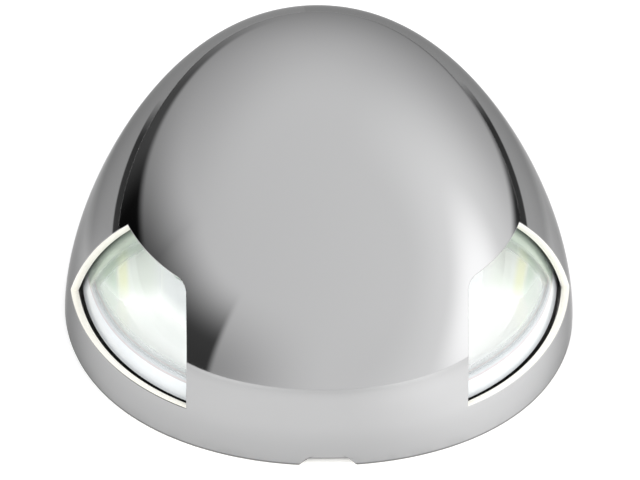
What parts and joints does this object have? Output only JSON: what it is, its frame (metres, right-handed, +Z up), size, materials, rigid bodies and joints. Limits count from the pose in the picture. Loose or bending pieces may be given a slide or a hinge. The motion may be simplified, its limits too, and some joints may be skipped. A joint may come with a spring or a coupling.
{
  "type": "navigation light",
  "caption": "Low domed deck-mounted bow navigation light: polished steel clip-over hood with port and starboard windows over a sealed clear lens with LED chambers.",
  "frame": {"origin": "middle of the hood's foot, on the deck plane", "axes": "+Z up from the deck, -Y towards the bow, +X to port and -X to starboard"},
  "size_m": [0.076, 0.0763, 0.0403],
  "materials": {
    "polished_stainless": "mirror-polished stainless steel",
    "spring_steel": "bright rolled spring strip",
    "neoprene": "closed-cell, matt",
    "white_housing": "moulded, fine satin",
    "black_rubber": "moulded, matt",
    "white_silicone": "soft satin",
    "clear_lens": "clear moulded polycarbonate, polished",
    "stainless_fastener": "turned, bright",
    "white_reflector": "high-reflectance white, semi-gloss",
    "white_board": "white solder mask on aluminium",
    "led_lens": "clear silicone dome over a pale phosphor",
    "lead_insulation": "extruded insulation",
    "plain_aluminium": "mill finish",
    "black_plastic": "moulded, matt",
    "green_board": "green solder mask on glass epoxy",
    "capacitor_can": "drawn can, satin",
    "dark_ferrite": "sintered ferrite with a varnished winding",
    "terminal_plastic": "moulded, satin"
  },
  "bodies": {
    "housing": {"snap_fingers": "spring_steel", "deck_gasket": "neoprene", "base": "white_housing", "cable_grommet": "black_rubber", "lens_seal": "white_silicone", "lens": "clear_lens", "lens_screws": "stainless_fastener", "reflector_port": "white_reflector", "reflector_starboard": "white_reflector", "led_board_port": "white_board", "led_board_starboard": "white_board", "red_led": "led_lens", "green_led": "led_lens", "led_leads_port": "lead_insulation", "led_leads_starboard": "lead_insulation", "heat_sink": "plain_aluminium", "heat_sink_screws": "stainless_fastener", "centre_screen": "black_plastic", "driver_board": "green_board", "driver_board_screws": "stainless_fastener", "capacitor": "capacitor_can", "choke": "dark_ferrite", "driver_chip": "black_plastic", "diode": "black_plastic", "resistors": "black_plastic", "terminal_block": "terminal_plastic", "terminal_screws": "stainless_fastener"},
    "hood": {"cover": "polished_stainless", "cover_beads": "polished_stainless"}
  },
  "joints": [
    {"name": "hood_lift", "type": "slide", "parent": "housing", "child": "hood", "axis": [0, 0, 1], "range_m": [0, 0.045]}
  ]
}
